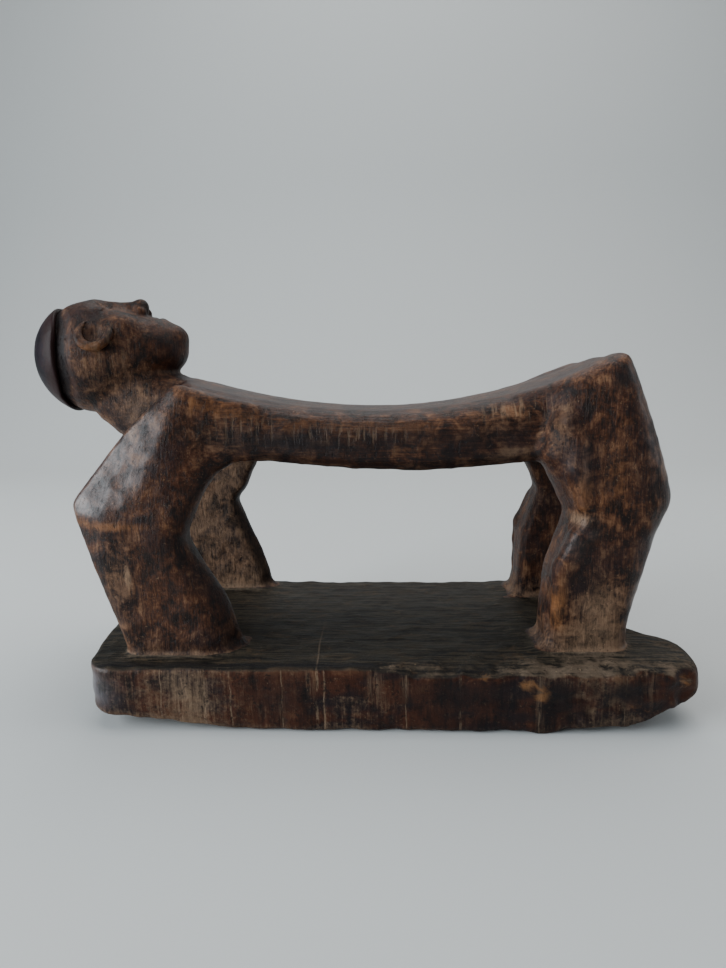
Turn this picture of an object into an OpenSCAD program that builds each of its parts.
// Carved wooden headrest: an arched figure, face up, stands on its arms and legs on a thick slab.
// The real object is one block of wood. Each node is one carved region of that block, and
// neighbouring regions meet face to face.
// Frame: +X from the head to the legs, +Y from the figure's right side to its left, +Z up.
// The origin is the centre of the slab's underside.

/* [Slab] */
// Length of the slab
base_l = 228; // [222:1:236]
// Depth of the slab
base_w = 97; // [96:1:104]
// Thickness of the slab
base_h = 25; // [20:1:28]
// Radius of the slab's corners
base_corner_r = 12; // [8:1:16]
// How far back the foot end is worn at its far corner
far_recess = 14; // [0:1:14]
// How far the underside rises at the head end
head_end_rise = 7; // [1:0.5:8]
// How far the underside rises at the worn foot end
worn_rise = 15; // [4:1:18]

/* [Neck rest] */
// Height of the lowest line of the neck rest
rest_z = 115.4; // [113:0.2:118]
// Thickness of the body at that line
rest_t = 23; // [20:0.5:26]
// Half width of the neck rest
rest_half_w = 30; // [29:0.5:31]
// Rise of the body's top at the shoulders
shoulder_rise = 12; // [9:0.5:14]
// Rise of the body's top at the hips
hip_rise = 18.4; // [14:0.2:20]

/* [Limbs] */
// Distance of the figure's middle plane behind the middle of the slab
figure_y = 4.5; // [0:0.5:5]
// Half distance over the elbows
arm_out = 43.5; // [41:0.5:44]
// Half distance between the arms at the elbows
arm_in = 27; // [25:0.5:29]
// Half width of the chest between the shoulders
chest_half_w = 24; // [22:0.5:26]
// Half distance over the knees
leg_out = 40.5; // [38:0.5:43]
// Half distance between the legs
leg_in = 18; // [15:0.5:20]
// Chamfer along the edges of the limbs
limb_edge = 3.5; // [1:0.5:4]

/* [Head] */
// Radius of the back of the head
skull_r = 22.6; // [21:0.2:23]
// Half width of the head
head_half_w = 21.6; // [20:0.2:22.6]
// Radius of the chin end of the head
chin_r = 10.5; // [9:0.5:12]
// Step from the head's surface out to the hair cap's
hair_step = 1.4; // [0.8:0.2:2]
// Half width of the neck
neck_half_w = 17; // [14:0.5:18]
// Outer radius of an ear
ear_r = 7.2; // [6:0.2:8]

/* [Hidden] */
figure_wood = "#4f3526";
slab_wood = "#352a23";
hair_wood = "#1d1a1c";
right = -1;
left = 1;
reach = 400;

// Places seen from the side, as [x, z]. The shoulder and hip stand on the body's ends.
shoulder = [-76, rest_z + shoulder_rise];
hip = [88, rest_z + hip_rise];
armpit = [-55, 96];
groin = [61, 95];
elbow = [-113, 81];
knee = [106.6, 82];
elbow_crease = [-73.5, 69.5];
knee_crease = [70.8, 75.5];
low_x = 2;
chin_widening = 1.25;
skull = [-116.6, 137];
chin = [-89.5, 140];
ear = [-108.8, 146];
hair_rim_x = -127;
nape = [-116.5, 112.5];
jaw = [-88, 132.5];

// The left arm's inner side stands nearer the middle of the object than the right one's
function arm_shift(side) = side == left ? 3.5 : 0;

function unit(v) = v / norm(v);

// Height of the neck rest and of the body's underside at x
function top_z(x) = rest_z + (x < low_x
    ? shoulder_rise * pow((x - low_x) / (shoulder[0] - low_x), 2)
    : hip_rise * pow((x - low_x) / (hip[0] - low_x), 2));
function under_z(x) = rest_z - rest_t + min(6, 4.2 * pow((x - 12) / 55, 2));

chest_bottom = [-96, under_z(-96)];

// The outline [x, z, half distance], clockwise, with its points moved inwards by d
function inset(outline, d) = [for (i = [0 : len(outline) - 1]) let (
        n = len(outline),
        p = outline[i],
        before = outline[(i + n - 1) % n],
        after = outline[(i + 1) % n],
        e1 = unit([p[0] - before[0], p[1] - before[1]]),
        e2 = unit([after[0] - p[0], after[1] - p[1]]),
        inwards = unit([e1[1] + e2[1], -e1[0] - e2[0]]))
    [p[0] + d * inwards[0], p[1] + d * inwards[1], p[2]]];

// A closed skin over rings that all have the same even number of points. The ends are
// closed by strips that run from one half of the ring to the other.
module loft(rings) {
    n = len(rings[0]);
    last = len(rings) - 1;
    sides = [for (i = [0 : last - 1], j = [0 : n - 1]) let (k = (j + 1) % n, a = i * n, b = a + n)
        each [[a + k, a + j, b + k], [b + k, a + j, b + j]]];
    caps = [for (j = [0 : n / 2 - 2]) let (p = j + 1, q = n - 2 - j, r = n - 1 - j, e = last * n)
        each [[j, p, q], [j, q, r], [e + p, e + j, e + q], [e + q, e + j, e + r]]];
    polyhedron([for (ring = rings) each ring], concat(sides, caps), convexity = 8);
}

// Everything on the left of the line from p to q, seen from the figure's right side
module left_of(p, q) {
    along = unit(q - p) * reach;
    across = [-along[1], along[0]];
    rotate([90, 0, 0]) linear_extrude(reach, center = true)
        polygon([p - along, q + along, q + along + across, p - along + across]);
}

// A whole limb from stations [+X side point, -X side point, half distance of the outer face,
// half distance of the inner face] that run from the body down into the slab
module limb(stations, side) {
    m = len(stations) - 1;
    outline = [
        for (i = [0 : m]) [each stations[i][0], stations[i][2]],
        for (i = [0 : m]) [each stations[m - i][1], stations[m - i][2]]];
    inner = [for (i = [0 : m]) stations[i][3], for (i = [0 : m]) stations[m - i][3]];
    outer_ring = inset(outline, limb_edge);
    all = [0 : 2 * m + 1];
    translate([0, figure_y, 0]) mirror([0, side == right ? 1 : 0, 0]) loft([
        [for (i = all) [outline[i][0], inner[i], outline[i][1]]],
        [for (i = all) [outline[i][0], outline[i][2] - limb_edge, outline[i][1]]],
        [for (p = outer_ring) [p[0], p[2], p[1]]]]);
}

module arm(side) {
    s = arm_shift(side);
    x0 = -44;
    foot_z = base_h - 8;
    limb([
        [[x0, under_z(x0)], [x0, top_z(x0)], rest_half_w, chest_half_w],
        [armpit, [-64, top_z(-64)], rest_half_w + 1, chest_half_w],
        [[-63 + s, 92], shoulder, rest_half_w + 3, chest_half_w],
        [[-66 + s, 88], [-85, 119], arm_out - 8.5, chest_half_w],
        [[-68.5 + s, 83], [-94, 110], arm_out - 5.5, chest_half_w],
        [[-71 + s, 76], [-104, 97], arm_out - 2.5, arm_in - 1],
        [elbow_crease + [s, 0], elbow, arm_out, arm_in],
        [[-69 + s, 57], [-106, 57], arm_out - 1, arm_in + 1],
        [[-64 + s, 46], [-102, 44], arm_out - 1, arm_in + 2],
        [[-57 + s / 2, 35], [-98.5, 33], arm_out - 0.5, arm_in + 2],
        [[-54 + s / 2, foot_z], [-95, foot_z], arm_out, arm_in + 2]], side);
}

module leg(side) {
    x0 = 50;
    foot_z = base_h - 8;
    limb([
        [[x0, top_z(x0)], [x0, under_z(x0)], rest_half_w, leg_in],
        [[68, top_z(68)], [55, 96], rest_half_w + 3, leg_in],
        [hip, groin, leg_out - 3, leg_in],
        [[94, 123], [64.5, 89.5], leg_out - 2, leg_in],
        [[99.4, 111], [66.7, 85], leg_out - 1, leg_in],
        [[105.2, 94], [69, 80], leg_out, leg_in],
        [knee, knee_crease, leg_out, leg_in],
        [[102, 68], [66.2, 60], leg_out, leg_in],
        [[98.5, 54], [63.4, 47], leg_out - 1, leg_in],
        [[93.5, 34], [63.5, 36], leg_out - 1.5, leg_in],
        [[94, foot_z], [60, foot_z], leg_out - 1, leg_in]], side);
}

// A plate of the body's full length and height between two distances from the middle plane
module body_plate(from, to) {
    translate([-reach / 2, figure_y + from, 0]) cube([reach, to - from, reach]);
}

module body_skin() {
    edge_top = 2.5;
    edge_under = 3.5;
    stations = [for (x = [-112 : 8 : 112]) x];
    w = rest_half_w;
    loft([for (x = stations) [
        [x, figure_y - w + edge_top, top_z(x)],
        [x, figure_y - w, top_z(x) - edge_top],
        [x, figure_y - w, under_z(x) + edge_under],
        [x, figure_y - w + edge_under, under_z(x)],
        [x, figure_y + w - edge_under, under_z(x)],
        [x, figure_y + w, under_z(x) + edge_under],
        [x, figure_y + w, top_z(x) - edge_top],
        [x, figure_y + w - edge_top, top_z(x)]]]);
}

module skull_skin(grow) {
    hull() {
        translate([skull[0], figure_y, skull[1]])
            scale([1, head_half_w / skull_r, 1]) sphere(skull_r + grow, $fn = 32);
        translate([chin[0], figure_y, chin[1]])
            scale([1, chin_widening, 1]) sphere(chin_r + grow, $fn = 32);
    }
}

// The slab's outline: the head end is bowed, and the foot end is worn back towards the far side
module slab_outline() {
    r = base_corner_r;
    x0 = -base_l / 2;
    x1 = base_l / 2;
    y0 = base_w / 2;
    bow = 4;
    far_r = 14;
    corner = [0 : 15 : 90];
    polygon([
        for (a = corner) [x0 + bow + r - r * cos(a), -y0 + r - r * sin(a)],
        for (a = corner) [x1 - r + r * sin(a), -y0 + r - r * cos(a)],
        for (t = [0.15 : 0.15 : 0.9]) [x1 - far_recess * t * t, -y0 + r + (2 * y0 - r - far_r) * t],
        for (a = corner) [x1 - far_recess - far_r + far_r * cos(a), y0 - far_r + far_r * sin(a)],
        for (a = corner) [x0 + bow + r - r * sin(a), y0 - r + r * cos(a)],
        for (y = [24 : -12 : -24]) [x0 + bow * pow(y / (y0 - r), 2), y]]);
}

module base() color(slab_wood) difference() {
    x0 = -base_l / 2;
    x1 = base_l / 2;
    linear_extrude(base_h) slab_outline();
    left_of([-45, 0], [x0, head_end_rise]);
    left_of([90, 3.3], [60, 0]);
    left_of([x1, worn_rise], [88, 2.5]);
    translate([x1 - 1, -base_w / 2, base_h]) rotate([0, 34, 10.5])
        translate([0, -reach / 2, 0]) cube(reach);
}

module upper_arm(side) color(figure_wood) intersection() {
    arm(side);
    left_of(elbow, elbow_crease + [arm_shift(side), 0]);
    left_of(armpit, shoulder);
}

module forearm(side) color(figure_wood) intersection() {
    arm(side);
    left_of(elbow_crease + [arm_shift(side), 0], elbow);
    translate([-reach / 2, -reach / 2, base_h]) cube(reach);
}

// The thigh with its half of the seat
module thigh(side) color(figure_wood) intersection() {
    union() {
        leg(side);
        intersection() {
            body_skin();
            body_plate(side == right ? -leg_in : 0, side == right ? 0 : leg_in);
            left_of([98, 108], hip);
        }
    }
    left_of(knee, knee_crease);
    left_of(hip, groin);
}

module shin(side) color(figure_wood) intersection() {
    leg(side);
    left_of(knee_crease, knee);
    translate([-reach / 2, -reach / 2, base_h]) cube(reach);
}

module torso() color(figure_wood) intersection() {
    body_skin();
    left_of(shoulder, armpit);
    left_of(groin, hip);
}

// The chest between the shoulders, in front of the armpits
module chest() color(figure_wood) intersection() {
    body_skin();
    body_plate(-chest_half_w, chest_half_w);
    left_of(armpit, shoulder);
    left_of(shoulder, chest_bottom);
}

module neck() color(figure_wood) difference() {
    w = neck_half_w;
    loft([
        for (s = [[shoulder, chest_bottom, w], [jaw, nape, w - 2], [jaw + [-1, 4], nape + [0, 6], w - 3]])
            let (p = s[0], q = s[1], m = (p + q) / 2, h = s[2]) [
                [p[0], figure_y - h + 4, p[1]], [m[0], figure_y - h, m[1]],
                [q[0], figure_y - h + 4, q[1]], [q[0], figure_y + h - 4, q[1]],
                [m[0], figure_y + h, m[1]], [p[0], figure_y + h - 4, p[1]]]]);
    skull_skin(0);
}

module head() color(figure_wood) intersection() {
    skull_skin(0);
    translate([hair_rim_x, -reach / 2, 0]) cube(reach);
}

module hair_cap() color(hair_wood) intersection() {
    skull_skin(hair_step);
    translate([hair_rim_x - reach, -reach / 2, 0]) cube(reach);
}

module one_ear(side) color(figure_wood) difference() {
    tip = head_half_w + 0.5;
    translate([ear[0], figure_y, ear[1]]) rotate([side == right ? 90 : -90, 0, 0]) difference() {
        cylinder(r = ear_r, h = tip, $fn = 48);
        translate([1, 0, tip - 2]) cylinder(r = ear_r - 3.2, h = 3, $fn = 32);
    }
    skull_skin(0);
}

module right_forearm() forearm(right);
module right_upper_arm() upper_arm(right);
module left_forearm() forearm(left);
module left_upper_arm() upper_arm(left);
module right_shin() shin(right);
module right_thigh() thigh(right);
module left_shin() shin(left);
module left_thigh() thigh(left);
module right_ear() one_ear(right);
module left_ear() one_ear(left);

base();
right_forearm();
right_upper_arm();
left_forearm();
left_upper_arm();
right_shin();
right_thigh();
left_shin();
left_thigh();
torso();
chest();
neck();
head();
hair_cap();
right_ear();
left_ear();
